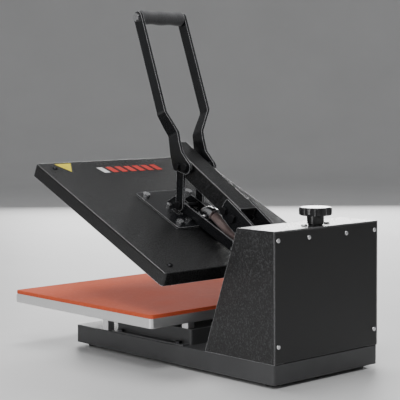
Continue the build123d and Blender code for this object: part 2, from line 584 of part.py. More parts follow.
def make_upper_arm():
    """The channel, its two side plates that reach down to the shaft, and the crossbar on their tails."""
    depth = UPPER_CHANNEL_DEPTH
    length = UPPER_CHANNEL_LENGTH
    profile = outline([(0, 0), (-length, 0), (-length + 33, -depth), (0, -depth)], 0)
    channel = side_plate(profile, -FLANGE, FLANGE)
    channel = fillet(channel.edges().filter_by(Axis.Y).group_by(Axis.Z)[-1], 2.5)
    inner = FLANGE - CHANNEL_WALL
    channel -= block((-inner, inner), (-length - 1, 1), (-depth - 1, -CHANNEL_WALL))
    channel = Pos(0, *UPPER_CHANNEL_REAR) * Rot(X=-UPPER_CHANNEL_ANGLE) * channel
    channel -= rod_x(4.1, -FLANGE - 1, FLANGE + 1, HANDLE_PIVOT)
    for place in SIDE_BOLT_PLACES:
        channel -= rod_x(4.1, -FLANGE - 1, FLANGE + 1, place)
    PARTS["upper_arm_channel"] = channel

    bar_y, bar_z = CROSSBAR_OPEN
    arm = outline([(45.5, 273.5), (33.0, 258.0), (33.5, 241.0), (78.0, 205.0), (104.0, 160.0),
                   (141.0, 66.0), (160.0, 42.5), (184.0, 57.0), (bar_y - 4, bar_z - 11),
                   (bar_y + 8, bar_z - 5), (bar_y + 1, bar_z + 11),
                   (190.0, 110.0), (162.0, 160.0), (128.0, 217.0)], 5.0)
    plate = side_plate(arm, FLANGE, FLANGE + SIDE_PLATE)
    plate -= rod_x(BUSH_RADIUS, FLANGE - 1, FLANGE + 6, (HINGE_Y, HINGE_Z))
    plate -= rod_x(CROSSBAR_RADIUS, FLANGE - 1, FLANGE + 6, CROSSBAR_OPEN)
    for place in SIDE_BOLT_PLACES:
        plate -= rod_x(4.1, FLANGE - 1, FLANGE + 6, place)
    mirrored_pair("upper_side_plate", plate)

    bolts = []
    for place in SIDE_BOLT_PLACES:
        bolts.append(placed(hex_bolt(8, 11.5), (FLANGE + SIDE_PLATE, *place), (1, 0, 0)))
    PARTS["side_plate_bolts"] = group(both_sides(bolts))

    bush = rod_x(BUSH_RADIUS, FLANGE, FLANGE + SIDE_PLATE, (HINGE_Y, HINGE_Z))
    bush += rod_x(14, FLANGE + SIDE_PLATE, FLANGE + SIDE_PLATE + 2, (HINGE_Y, HINGE_Z))
    bush -= rod_x(SHAFT_RADIUS + RUNNING_FIT, FLANGE - 1, FLANGE + 8, (HINGE_Y, HINGE_Z))
    PARTS["upper_bushes"] = group(both_sides([bush]))

    bar_end = SPRING_X + 6
    crossbar = rod_x(CROSSBAR_RADIUS, -bar_end, bar_end, CROSSBAR_OPEN)
    crossbar = chamfer(crossbar.edges().filter_by(GeomType.CIRCLE), 0.8)
    PARTS["tail_crossbar"] = crossbar

    pivots = []
    spacer = rod_x(8, FLANGE, CHEEK_INNER - 0.3, HANDLE_PIVOT)
    shoulder = rod_x(4, FLANGE - CHANNEL_WALL, CHEEK_OUTER + 0.4, HANDLE_PIVOT)
    head = placed(hex_bolt(8, 0.4), (CHEEK_OUTER + 0.4, *HANDLE_PIVOT), (1, 0, 0))
    pivots.append(spacer + shoulder + head)
    PARTS["handle_pivot_bolts"] = group(both_sides(pivots))


# ---------------------------------------------------------------- handle and links

CHEEK_TIP = (-72.5, 331.0)
JOGGLE_START = 212.0
JOGGLE_END = 176.0
BAR_WIDTH = 21.0


def handle_bar_outline():
    """The bar seen from the side: a straight upper bar, and a wider cheek that holds both pivots."""
    lean = bearing(GRIP_AXIS, (-75.5, 379.0))
    across = math.radians(lean - 90)
    half = BAR_WIDTH / 2
    along = math.radians(lean)
    bar_foot = (GRIP_AXIS[0] + 172 * math.cos(along), GRIP_AXIS[1] + 172 * math.sin(along))
    front = (bar_foot[0] + half * math.cos(across), bar_foot[1] + half * math.sin(across))
    rear = (bar_foot[0] - half * math.cos(across), bar_foot[1] - half * math.sin(across))
    upper = bar_outline(GRIP_AXIS, bar_foot, half)
    tip = Pos(*CHEEK_TIP) * Circle(15)
    lobe = Pos(*HANDLE_PIVOT) * Circle(11.5)
    tip_and_lobe = make_hull([*tip.edges(), *lobe.edges()])
    front_line = [front, (-97.3, 386.0), (-93.4, 362.0), (-90.6, 342.0), (-85.5, 322.0)]
    rear_line = [(-60.0, 325.0), (-45.0, 331.0), (-61.5, 347.5), (-68.5, 368.0), rear]
    cheek = make_face(Polyline(*front_line, *rear_line, close=True))
    whole = upper + tip_and_lobe + cheek
    return whole.faces()[0]


def make_handle():
    """Two joggled flat bars, the round core between them, its foam grip and the bolts at its ends."""
    lean = bearing(GRIP_AXIS, (-75.5, 379.0))
    along = Vector(0, math.cos(math.radians(lean)), math.sin(math.radians(lean)))
    slab = side_plate(handle_bar_outline(), CHEEK_INNER - 2, BAR_SPREAD + 5)
    outer_top = BAR_SPREAD + BAR_THICKNESS / 2
    inner_top = BAR_SPREAD - BAR_THICKNESS / 2
    joggle = make_face(Polyline((inner_top, -20), (inner_top, JOGGLE_END), (CHEEK_INNER, JOGGLE_START),
                                (CHEEK_INNER, 300), (CHEEK_OUTER, 300), (CHEEK_OUTER, JOGGLE_START),
                                (outer_top, JOGGLE_END), (outer_top, -20), close=True))
    bends = joggle.vertices().filter_by_position(Axis.Y, JOGGLE_END - 1, JOGGLE_START + 1)
    joggle = fillet(bends, 12)
    section = Plane(origin=(0, *GRIP_AXIS), x_dir=(1, 0, 0), z_dir=Vector(1, 0, 0).cross(along))
    bar = slab & extrude(section * joggle, 80, both=True)
    bar -= rod_x(4 + RUNNING_FIT, FLANGE, CHEEK_OUTER + 5, HANDLE_PIVOT)
    bar -= rod_x(4, FLANGE, CHEEK_OUTER + 5, LINK_HEAD)
    bar -= rod_x(4.1, FLANGE, outer_top + 5, GRIP_AXIS)
    mirrored_pair("handle_bar", bar)

    core = rod_x(6.5, -inner_top, inner_top, GRIP_AXIS)
    core -= rod_x(4.1, -inner_top - 1, inner_top + 1, GRIP_AXIS)
    PARTS["grip_core"] = core
    foam_end = inner_top - 0.5
    foam = rod_x(GRIP_RADIUS, -foam_end, foam_end, GRIP_AXIS)
    foam = fillet(foam.edges().filter_by(GeomType.CIRCLE), 2.5)
    PARTS["grip_foam"] = foam - rod_x(6.5, -foam_end - 1, foam_end + 1, GRIP_AXIS)
    grip_bolt = placed(hex_bolt(8, 30), (outer_top, *GRIP_AXIS), (1, 0, 0))
    shoulder = rod_x(4, LINK_INNER, CHEEK_OUTER, LINK_HEAD)
    head = placed(hex_bolt(8, 0.2), (CHEEK_OUTER, *LINK_HEAD), (1, 0, 0))
    PARTS["handle_bolts"] = group(both_sides([grip_bolt, shoulder + head]))


def make_links():
    """Two flat links and the pin that ties their feet together through the lower channel."""
    bar = bar_outline(LINK_HEAD, LINK_FOOT, LINK_RADIUS)
    link = side_plate(bar, LINK_INNER, LINK_INNER + LINK_THICKNESS)
    link -= rod_x(4 + RUNNING_FIT, FLANGE, CHEEK_INNER, LINK_HEAD)
    link -= rod_x(4, FLANGE, CHEEK_INNER, LINK_FOOT)
    mirrored_pair("link", link)
    outer = LINK_INNER + LINK_THICKNESS
    pin = rod_x(4, -outer, outer, LINK_FOOT)
    for side in (-1, 1):
        pin += placed(hex_bolt(8, 0.2), (side * outer, *LINK_FOOT), (side, 0, 0))
    PARTS["link_pin"] = pin


def link_pin_path(steps=4):
    """Where the link's pin stands in the lower channel as the toggle closes at steady rates."""
    places = []
    for step in range(steps + 1):
        share = step / steps
        head = turned(LINK_HEAD, share * LINKAGE["handle_turn"], HANDLE_PIVOT)
        reach = (head[0] + LINK_FOOT[0] - LINK_HEAD[0], head[1] + LINK_FOOT[1] - LINK_HEAD[1])
        foot = turned(reach, share * LINKAGE["link_turn"], head)
        places.append(turned(foot, -share * LINKAGE["spread"]))
    return places


# ---------------------------------------------------------------- lower arm and heated platen

PLATE_FOOT = 3.0
CHANNEL_TOP = PLATE_FOOT + LOWER_CHANNEL_DEPTH
CHANNEL_FLOOR = PLATE_FOOT + CHANNEL_WALL
MOUNT_PLATE_X = 64.0
MOUNT_REACH = (124.0, 250.0)
MOUNT_BOLTS = [(x, reach) for x in (-49, 49) for reach in (139, 237)]
CHANNEL_BOLTS = [(x, reach) for x in (-27, 27) for reach in (143, 198)]
CORNER_SCREWS = [(x, reach) for x in (-163, 163) for reach in (22, 358)]
GLAND_REACH = 137.0
CHANNEL_REAR = -18.0
REACH_PLATE_BOLTS = (30, 6)
REACH_BOLT_HEIGHT = 12.0
LOWER_FLANGE = FLANGE - 0.3
LOWER_PLATE_INNER = 12.0


def rod_on_cover(radius, x, reach, low, high):
    """An upright round bar on the closed upper platen, between two heights over its top face."""
    y = on_cover(reach, 0)[0]
    return rod_z(radius, COVER_TOP + low, COVER_TOP + high, x, y)


def make_heated_platen():
    """Heating plate with its cast-in element, insulation, and the sheet cover over them."""
    plate_low = PAD_TOP + CLOSED_GAP
    plate_high = plate_low + HEATING_PLATE_THICKNESS
    cover_low = plate_low + 2.0
    middle = Pos(0, PLATEN_MID_Y, 0)
    cover = rounded_box(PLATEN_SIDE, PLATEN_SIDE, cover_low, COVER_TOP, PLATEN_CORNER)
    cover = fillet(cover.faces().sort_by(Axis.Z)[-1].edges(), 2.5)
    inside = PLATEN_SIDE - 2 * SHEET
    cover -= rounded_box(inside, inside, cover_low - 1, COVER_TOP - SHEET, PLATEN_CORNER - SHEET)
    cover = middle * cover
    plate_side = inside - 2
    plate = middle * rounded_box(plate_side, plate_side, plate_low, plate_high, PLATEN_CORNER - SHEET)
    insulation = middle * rounded_box(plate_side, plate_side, plate_high, COVER_TOP - SHEET, 3)

    element_z = plate_high - 6.5
    y_front = PLATEN_MID_Y - 150
    y_back = PLATEN_MID_Y + 150
    lead_y = on_cover(GLAND_REACH, 0)[0]
    turns = [(-12, lead_y), (-12, y_front), (-75, y_front), (-75, y_back), (-150, y_back),
             (-150, y_front - 18), (150, y_front - 18), (150, y_back), (75, y_back),
             (75, y_front), (12, y_front), (12, lead_y)]
    path = FilletPolyline(*[(x, y, element_z) for x, y in turns], radius=14)
    ring = Plane(origin=path @ 0, z_dir=path % 0)
    element = sweep(ring * Circle(4.0), path=path)
    plate -= sweep(ring * Circle(4.1), path=path)
    for x in (-12, 12):
        plate -= rod_z(4.6, element_z, plate_high + 1, x, lead_y + 1)
        insulation -= rod_z(4.6, plate_high - 1, COVER_TOP, x, lead_y + 1)
        element += rod_z(3.0, element_z, COVER_TOP - SHEET - 0.5, x, lead_y + 1)
    for x, reach in MOUNT_BOLTS:
        cover -= rod_on_cover(4.1, x, reach, -3, 1)
        insulation -= rod_on_cover(4.1, x, reach, -12, -1)
        plate -= rod_on_cover(4.1, x, reach, -17, -5)
    for x, reach in CORNER_SCREWS:
        cover -= rod_on_cover(2.6, x, reach, -3, 1)
        insulation -= rod_on_cover(2.6, x, reach, -12, -1)
        plate -= rod_on_cover(2.6, x, reach, -17, -5)
    for x, reach in CHANNEL_BOLTS:
        cover -= rod_on_cover(3.1, x, reach, -3, 1)
        insulation -= rod_on_cover(5.6, x, reach, -12, -1)
    cover -= rod_on_cover(8, 0, GLAND_REACH, -3, 1)
    PARTS["platen_cover"] = opened(cover)
    PARTS["heating_platen"] = opened(plate)
    PARTS["insulation_board"] = opened(insulation)
    PARTS["heating_element"] = opened(element)
    screws = []
    for x, reach in CORNER_SCREWS:
        place = (x, *on_cover(reach, 0))
        screws.append(placed(pan_screw(5, 14), place, (0, 0, 1)))
    PARTS["cover_screws"] = opened(group(screws))


def make_lower_arm():
    """The channel on its mounting plate, and the two plates that carry it back to the shaft."""
    y_front = on_cover(MOUNT_REACH[1], 0)[0]
    y_back = on_cover(MOUNT_REACH[0], 0)[0]
    mount = block((-MOUNT_PLATE_X, MOUNT_PLATE_X), (y_front, y_back), (COVER_TOP, COVER_TOP + PLATE_FOOT))
    mount = fillet(mount.edges().filter_by(Axis.Z), 6)
    for x, reach in MOUNT_BOLTS:
        mount -= rod_on_cover(4.1, x, reach, -1, PLATE_FOOT + 1)
    for x, reach in CHANNEL_BOLTS:
        mount -= rod_on_cover(3.1, x, reach, -1, PLATE_FOOT + 1)
    mount -= rod_on_cover(8, 0, GLAND_REACH, -1, PLATE_FOOT + 1)
    # The links' feet and the pin's heads dip into these windows at mid-travel.
    y_foot = on_cover(LINK_FOOT_REACH, 0)[0]
    for side in (-1, 1):
        x_range = sorted((side * (LINK_INNER - 0.7), side * 31))
        mount -= block(x_range, (y_foot - 9, y_foot + 9), (COVER_TOP - 1, COVER_TOP + PLATE_FOOT + 1))
    PARTS["mount_plate"] = opened(mount)

    side_view = outline([on_cover(CHANNEL_REAR, PLATE_FOOT), on_cover(213, PLATE_FOOT),
                         on_cover(198, CHANNEL_TOP), on_cover(CHANNEL_REAR, CHANNEL_TOP)], 0)
    channel = side_plate(side_view, -LOWER_FLANGE, LOWER_FLANGE)
    low_edges = channel.edges().filter_by(Axis.Y).group_by(Axis.Z)[0]
    channel = fillet(low_edges, 2.5)
    inner = FLANGE - CHANNEL_WALL
    channel -= block((-inner, inner), (-180, 100), (COVER_TOP + CHANNEL_FLOOR, COVER_TOP + CHANNEL_TOP + 1))
    channel -= rod_on_cover(8, 0, GLAND_REACH, PLATE_FOOT - 1, CHANNEL_FLOOR + 1)
    for reach in REACH_PLATE_BOLTS:
        channel -= rod_x(3.1, -FLANGE - 1, FLANGE + 1, on_cover(reach, REACH_BOLT_HEIGHT))
    channel = opened(channel)
    path = [Pos(*place) * Circle(4.3) for place in link_pin_path()]
    slot = make_hull([edge for circle in path for edge in circle.edges()])
    channel -= side_plate(slot, -FLANGE - 1, FLANGE + 1)
    PARTS["lower_arm_channel"] = channel

    reach_outline = outline([on_cover(40, 20), on_cover(40, CHANNEL_FLOOR + 0.5),
                             on_cover(-24, CHANNEL_FLOOR + 0.5), (138, 66), (156, 45), (178, 51), (182, 72),
                             (136, COVER_TOP + 20)], 4.0)
    plate = side_plate(reach_outline, LOWER_PLATE_INNER, LOWER_PLATE_INNER + SIDE_PLATE)
    plate -= rod_x(BUSH_RADIUS, 10, 20, (HINGE_Y, HINGE_Z))
    for reach in REACH_PLATE_BOLTS:
        plate -= rod_x(3.1, 10, 20, on_cover(reach, REACH_BOLT_HEIGHT))
    mirrored_pair("lower_side_plate", opened(plate))
    bush = rod_x(BUSH_RADIUS, LOWER_PLATE_INNER, LOWER_PLATE_INNER + SIDE_PLATE, (HINGE_Y, HINGE_Z))
    bush += rod_x(14, LOWER_PLATE_INNER + SIDE_PLATE, FLANGE - 0.4, (HINGE_Y, HINGE_Z))
    bush -= rod_x(SHAFT_RADIUS + RUNNING_FIT, 9, 21, (HINGE_Y, HINGE_Z))
    PARTS["lower_bushes"] = opened(group(both_sides([bush])))

    bolts = []
    for x, reach in MOUNT_BOLTS:
        bolts.append(placed(hex_bolt(8, 19), (x, *on_cover(reach, PLATE_FOOT)), (0, 0, 1)))
    PARTS["mount_bolts"] = opened(group(bolts))
    small = []
    for x, reach in CHANNEL_BOLTS:
        small.append(placed(hex_bolt(6, 8), (x, *on_cover(reach, PLATE_FOOT)), (0, 0, 1)))
    for reach in REACH_PLATE_BOLTS:
        for side in (-1, 1):
            place = (side * LOWER_FLANGE, *on_cover(reach, REACH_BOLT_HEIGHT))
            small.append(placed(hex_bolt(6, CHANNEL_WALL + SIDE_PLATE), place, (side, 0, 0)))
    PARTS["lower_arm_bolts"] = opened(group(small))


CONDUIT_RADIUS = 8.5
GLAND_HEIGHT = 27.5
CONDUIT_ROUTE = [(112, 27.5), (92, 23.5), (66, 17.5), (32, 16.5), (-5, 16.5), (-37, 12), (-60, -5),
                 (-80, -26)]


def make_heater_lead():
    """The gland's elbow over the platen, and the sleeved heater lead that lies in the channel."""
    base = Pos(0, 0, CHANNEL_FLOOR) * extrude(RegularPolygon(13, 6), 7)
    base += Pos(0, 0, CHANNEL_FLOOR + 7 + 2.5) * Cylinder(10.5, 5)
    bend_start = CHANNEL_FLOOR + 12
    corners = [(0, 0, bend_start - 4), (0, 0, GLAND_HEIGHT), (0, 22, GLAND_HEIGHT)]
    elbow_path = FilletPolyline(*corners, radius=12)
    elbow = sweep(Plane(origin=elbow_path @ 0, z_dir=elbow_path % 0) * Circle(9.5), path=elbow_path)
    collar = Pos(0, 20.5, GLAND_HEIGHT) * Rot(X=-90) * Cylinder(11.8, 7)
    gland = base + elbow + collar
    gland -= Pos(0, 22, GLAND_HEIGHT) * Rot(X=-90) * Cylinder(CONDUIT_RADIUS, 6)
    y = on_cover(GLAND_REACH, 0)[0]
    PARTS["cable_gland"] = opened(Pos(0, y, COVER_TOP) * gland)

    points = [(0, *on_cover(reach, height)) for reach, height in CONDUIT_ROUTE]
    radii = cord_radii(points)
    print("heater lead radii", [round(radius, 1) for radius in radii])
    path = FilletPolyline(*points, radius=radii)
    sleeve = sweep(Plane(origin=path @ 0, z_dir=path % 0) * Circle(CONDUIT_RADIUS - 0.1), path=path)
    print("heater lead length", round(path.length, 1), "volume ratio",
          round(sleeve.volume / (math.pi * (CONDUIT_RADIUS - 0.1) ** 2 * path.length), 4))
    PARTS["heater_lead"] = opened(sleeve)


def cord_radii(points):
    """The largest arc that each corner's two runs allow."""
    radii = []
    for before, corner, after in zip(points, points[1:], points[2:]):
        run_in = Vector(*corner) - Vector(*before)
        run_out = Vector(*after) - Vector(*corner)
        turn = math.radians(run_in.get_angle(run_out))
        radii.append(0.45 * min(run_in.length, run_out.length) / math.tan(turn / 2))
    return radii


# ---------------------------------------------------------------- build and write

def main():
    make_base()
    make_pedestal_and_lower_platen()
    make_base_bolts()
    make_tower()
    make_hinge()
    make_pressure_screw()
    make_lift_springs()
    make_controls()
    make_upper_arm()
    make_handle()
    make_links()
    make_heated_platen()
    make_lower_arm()
    make_heater_lead()
    os.makedirs("parts", exist_ok=True)
    for name, shape in PARTS.items():
        export_step(shape, f"parts/{name}.step")
    for key, value in LINKAGE.items():
        print(key, value)


main()
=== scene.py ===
import bpy
import bmesh
import math
from mathutils import Matrix, Vector


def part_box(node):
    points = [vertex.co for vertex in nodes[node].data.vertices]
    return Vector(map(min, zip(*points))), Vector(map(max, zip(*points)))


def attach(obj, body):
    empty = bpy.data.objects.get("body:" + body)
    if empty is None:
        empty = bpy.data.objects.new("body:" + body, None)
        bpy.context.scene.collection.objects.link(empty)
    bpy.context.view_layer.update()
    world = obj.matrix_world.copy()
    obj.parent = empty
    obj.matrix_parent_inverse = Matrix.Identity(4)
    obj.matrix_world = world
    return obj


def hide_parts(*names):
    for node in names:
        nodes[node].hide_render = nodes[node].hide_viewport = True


# Clamshell tabletop press: finishes, small soft details, studio and camera, around the fixed CAD frame.

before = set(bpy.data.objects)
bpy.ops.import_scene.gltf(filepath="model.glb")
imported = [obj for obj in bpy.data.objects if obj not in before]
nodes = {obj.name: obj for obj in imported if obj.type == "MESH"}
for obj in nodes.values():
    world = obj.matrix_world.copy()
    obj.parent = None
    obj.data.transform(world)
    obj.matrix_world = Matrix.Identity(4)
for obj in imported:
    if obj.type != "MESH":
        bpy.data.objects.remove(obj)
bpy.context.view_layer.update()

# The main shaft, the angle the upper platen is raised by at rest, and where the platen's back edge and the
# cover's top face lie with the press closed.
HINGE = Vector((0.0, 0.1625, 0.064))
OPEN_ANGLE = math.radians(25.0)
PLATEN_BACK_Y = 0.0435
COVER_TOP = 0.122


# ---------------------------------------------------------------- node helpers

def new_material(name):
    material = bpy.data.materials.new(name)
    material.use_nodes = True
    tree = material.node_tree
    tree.nodes.clear()
    output = tree.nodes.new("ShaderNodeOutputMaterial")
    shader = tree.nodes.new("ShaderNodeBsdfPrincipled")
    tree.links.new(shader.outputs["BSDF"], output.inputs["Surface"])
    return material, tree, shader


def object_coords(tree, scale=(1, 1, 1), turn=(0, 0, 0)):
    coords = tree.nodes.new("ShaderNodeTexCoord")
    mapping = tree.nodes.new("ShaderNodeMapping")
    mapping.inputs["Scale"].default_value = scale
    mapping.inputs["Rotation"].default_value = turn
    tree.links.new(coords.outputs["Object"], mapping.inputs["Vector"])
    return mapping.outputs["Vector"]


def noise(tree, vector, scale, detail=4.0, roughness=0.55, distortion=0.0):
    node = tree.nodes.new("ShaderNodeTexNoise")
    node.inputs["Scale"].default_value = scale
    node.inputs["Detail"].default_value = detail
    node.inputs["Roughness"].default_value = roughness
    node.inputs["Distortion"].default_value = distortion
    tree.links.new(vector, node.inputs["Vector"])
    return node.outputs["Fac"]


def cells(tree, vector, scale, smooth):
    node = tree.nodes.new("ShaderNodeTexVoronoi")
    node.feature = "SMOOTH_F1"
    node.inputs["Scale"].default_value = scale
    node.inputs["Smoothness"].default_value = smooth
    tree.links.new(vector, node.inputs["Vector"])
    return node.outputs["Distance"]


def remap(tree, value, low, high, to_low=0.0, to_high=1.0):
    node = tree.nodes.new("ShaderNodeMapRange")
    node.inputs["From Min"].default_value = low
    node.inputs["From Max"].default_value = high
    node.inputs["To Min"].default_value = to_low
    node.inputs["To Max"].default_value = to_high
    tree.links.new(value, node.inputs["Value"])
    return node.outputs["Result"]


def maths(tree, operation, a, b):
    node = tree.nodes.new("ShaderNodeMath")
    node.operation = operation
    for socket, value in zip(node.inputs, (a, b)):
        if isinstance(value, float):
            socket.default_value = value
        else:
            tree.links.new(value, socket)
    return node.outputs["Value"]


def mixed(tree, factor, a, b):
    """Color a where factor is 0, color b where it is 1."""
    node = tree.nodes.new("ShaderNodeMix")
    node.data_type = "RGBA"
    tree.links.new(factor, node.inputs[0])
    for socket, value in ((node.inputs[6], a), (node.inputs[7], b)):
        if isinstance(value, tuple):
            socket.default_value = (*value, 1.0)
        else:
            tree.links.new(value, socket)
    return node.outputs[2]


def scaled(color, share, more=0.0):
    return tuple(min(1.0, share * c + more) for c in color)


def bumped(tree, shader, height, strength, distance):
    node = tree.nodes.new("ShaderNodeBump")
    node.inputs["Strength"].default_value = strength
    node.inputs["Distance"].default_value = distance
    tree.links.new(height, node.inputs["Height"])
    tree.links.new(node.outputs["Normal"], shader.inputs["Normal"])


def sharp_edge_mask(tree, width=0.0014, low=0.05, high=0.24):
    """1 along sharp edges, 0 on flat faces."""
    bevel = tree.nodes.new("ShaderNodeBevel")
    bevel.samples = 6
    bevel.inputs["Radius"].default_value = width
    geometry = tree.nodes.new("ShaderNodeNewGeometry")
    product = tree.nodes.new("ShaderNodeVectorMath")
    product.operation = "DOT_PRODUCT"
    tree.links.new(bevel.outputs["Normal"], product.inputs[0])
    tree.links.new(geometry.outputs["Normal"], product.inputs[1])
    return remap(tree, maths(tree, "SUBTRACT", 1.0, product.outputs["Value"]), low, high)


# ---------------------------------------------------------------- materials

def powder_coat(name, color, roughness, grain, depth, edge_highlight_patch_level=0.5, coat=0.0, edge_highlight_grey=0.2, glint_gain=1.3):
    """Hammered powder coat: rounded grain with painted glints on its tops, slight mottling, and a patchy
    painted highlight along the edges.
    """
    material, tree, shader = new_material(name)
    vector = object_coords(tree)
    lumps = noise(tree, vector, grain, detail=2.0, roughness=0.4)
    fine = noise(tree, vector, grain * 2.3, detail=3.0)
    height = maths(tree, "ADD", lumps, maths(tree, "MULTIPLY", fine, 0.4))
    bumped(tree, shader, height, strength=0.6, distance=depth)
    mottling = remap(tree, noise(tree, vector, 14.0, detail=5.0), 0.35, 0.68)
    tint = mixed(tree, mottling, color, scaled(color, 1.3))
    # Painted glints: the tops of the grain lumps get a paler base colour.
    tint = mixed(tree, remap(tree, lumps, 0.52, 0.62), tint, scaled(color, glint_gain))
    # Painted highlight along sharp edges, varying in patches and partly metallic there.
    patches = remap(tree, noise(tree, vector, 90.0), 0.3, 0.6, to_low=0.8, to_high=edge_highlight_patch_level)
    paler_edges = maths(tree, "MULTIPLY", sharp_edge_mask(tree), patches)
    tint = mixed(tree, paler_edges, tint, (edge_highlight_grey, edge_highlight_grey, 1.02 * edge_highlight_grey))
    rough = remap(tree, fine, 0.3, 0.7, roughness - 0.06, roughness + 0.08)
    tree.links.new(tint, shader.inputs["Base Color"])
    tree.links.new(rough, shader.inputs["Roughness"])
    tree.links.new(maths(tree, "MULTIPLY", paler_edges, 0.3), shader.inputs["Metallic"])
    shader.inputs["Coat Weight"].default_value = coat
    shader.inputs["Coat Roughness"].default_value = 0.25
    return material


def metal(name, color, roughness, brush_scale, brush=(1, 1, 1), stain=0.12, depth=0.00004):
    """Bare metal with brushed or turned streaks and faint handling stains."""
    material, tree, shader = new_material(name)
    streaks = noise(tree, object_coords(tree, brush), brush_scale, detail=6.0, roughness=0.7)
    blots = noise(tree, object_coords(tree), 22.0, detail=5.0, roughness=0.6, distortion=0.6)
    stains = remap(tree, blots, 0.4, 0.75)
    tint = mixed(tree, remap(tree, streaks, 0.3, 0.7), color, scaled(color, 0.86))
    tint = mixed(tree, maths(tree, "MULTIPLY", stains, 0.6), tint, scaled(color, 1.0 - 2.0 * stain))
    rough = maths(tree, "ADD", remap(tree, streaks, 0.3, 0.7, roughness - 0.05, roughness + 0.07),
                  maths(tree, "MULTIPLY", stains, 0.1))
    tree.links.new(tint, shader.inputs["Base Color"])
    tree.links.new(rough, shader.inputs["Roughness"])
    shader.inputs["Metallic"].default_value = 1.0
    bumped(tree, shader, streaks, strength=0.35, distance=depth)
    return material


def moulded(name, color, roughness, grain=900.0, depth=0.00003, coat=0.0):
    """Moulded plastic with a fine spark-eroded texture and rubbed corners."""
    material, tree, shader = new_material(name)
    vector = object_coords(tree)
    fine = noise(tree, vector, grain, detail=2.0)
    broad = noise(tree, vector, 25.0)
    tint = mixed(tree, remap(tree, broad, 0.3, 0.7), color, scaled(color, 1.3, more=0.002))
    paler_edges = maths(tree, "MULTIPLY", sharp_edge_mask(tree, width=0.0008), 0.22)
    tint = mixed(tree, paler_edges, tint, scaled(color, 2.2, more=0.06))
    rough = remap(tree, broad, 0.3, 0.7, roughness - 0.05, roughness + 0.06)
    tree.links.new(tint, shader.inputs["Base Color"])
    tree.links.new(rough, shader.inputs["Roughness"])
    shader.inputs["Coat Weight"].default_value = coat
    shader.inputs["Coat Roughness"].default_value = 0.12
    bumped(tree, shader, fine, strength=0.4, distance=depth)
    return material


def silicone_sponge():
    """Closed-cell silicone sponge: matt brick red, fine pores, dusty and slightly darker edges."""
    material, tree, shader = new_material("silicone")
    vector = object_coords(tree)
    pores = cells(tree, vector, 900.0, smooth=0.2)
    broad = noise(tree, vector, 9.0, detail=6.0, roughness=0.6, distortion=0.4)
    tint = mixed(tree, remap(tree, broad, 0.3, 0.72), (0.52, 0.085, 0.036), (0.60, 0.110, 0.050))
    dust = remap(tree, noise(tree, vector, 160.0), 0.52, 0.75, to_high=0.35)
    tint = mixed(tree, dust, tint, (0.66, 0.17, 0.10))
    edge = maths(tree, "MULTIPLY", sharp_edge_mask(tree, width=0.002, low=0.02, high=0.3), 0.5)
    tint = mixed(tree, edge, tint, (0.36, 0.06, 0.03))
    rough = remap(tree, broad, 0.3, 0.7, to_low=0.84, to_high=0.96)
    tree.links.new(tint, shader.inputs["Base Color"])
    tree.links.new(rough, shader.inputs["Roughness"])
    shader.inputs["Specular IOR Level"].default_value = 0.1
    shader.inputs["Subsurface Weight"].default_value = 0.05
    shader.inputs["Subsurface Radius"].default_value = (0.004, 0.0012, 0.0008)
    bumped(tree, shader, pores, strength=0.35, distance=0.00012)
    return material


def soft_foam():
    """Soft foam grip: open grain, squeezed lines and a dusty sheen."""
    material, tree, shader = new_material("foam")
    grain = cells(tree, object_coords(tree), 620.0, smooth=0.25)
    stretched = object_coords(tree, scale=(1.0, 0.25, 0.25))
    creases = noise(tree, stretched, 150.0, roughness=0.6, distortion=1.5)
    tint = mixed(tree, remap(tree, creases, 0.35, 0.7), (0.028, 0.028, 0.030), (0.060, 0.060, 0.063))
    tint = mixed(tree, remap(tree, grain, 0.2, 0.6, to_high=0.6), tint, (0.085, 0.085, 0.09))
    height = maths(tree, "ADD", grain, maths(tree, "MULTIPLY", creases, 0.6))
    tree.links.new(tint, shader.inputs["Base Color"])
    shader.inputs["Roughness"].default_value = 0.86
    shader.inputs["Sheen Weight"].default_value = 0.25
    bumped(tree, shader, height, strength=0.7, distance=0.0003)
    return material


def sleeve_yarn():
    """Braided glass-fibre sleeving; the braid's crossing yarns are in the mesh, this is their fibre."""
    material, tree, shader = new_material("sleeve_yarn")
    vector = object_coords(tree)
    fibres = noise(tree, vector, 1500.0, detail=3.0, roughness=0.7)
    broad = noise(tree, vector, 60.0)
    tint = mixed(tree, remap(tree, broad, 0.35, 0.68), (0.20, 0.135, 0.125), (0.33, 0.25, 0.235))
    tint = mixed(tree, remap(tree, fibres, 0.4, 0.65, to_high=0.6), tint, (0.12, 0.08, 0.08))
    tree.links.new(tint, shader.inputs["Base Color"])
    shader.inputs["Roughness"].default_value = 0.7
    shader.inputs["Sheen Weight"].default_value = 0.3
    bumped(tree, shader, fibres, strength=0.6, distance=0.0002)
    return material


def fibre_board():
    """Pressed heat-proof board with long fibres and faint scorching."""
    material, tree, shader = new_material("fibre_board")
    stretched = object_coords(tree, scale=(1, 1, 8))
    fibres = noise(tree, stretched, 260.0, detail=8.0, roughness=0.75, distortion=1.0)
    broad = noise(tree, object_coords(tree), 30.0)
    tint = mixed(tree, remap(tree, fibres, 0.3, 0.7), (0.62, 0.57, 0.48), (0.44, 0.40, 0.33))
    tint = mixed(tree, remap(tree, broad, 0.5, 0.75, to_high=0.4), tint, (0.35, 0.28, 0.2))
    tree.links.new(tint, shader.inputs["Base Color"])
    shader.inputs["Roughness"].default_value = 0.92
    bumped(tree, shader, fibres, strength=0.8, distance=0.0004)
    return material


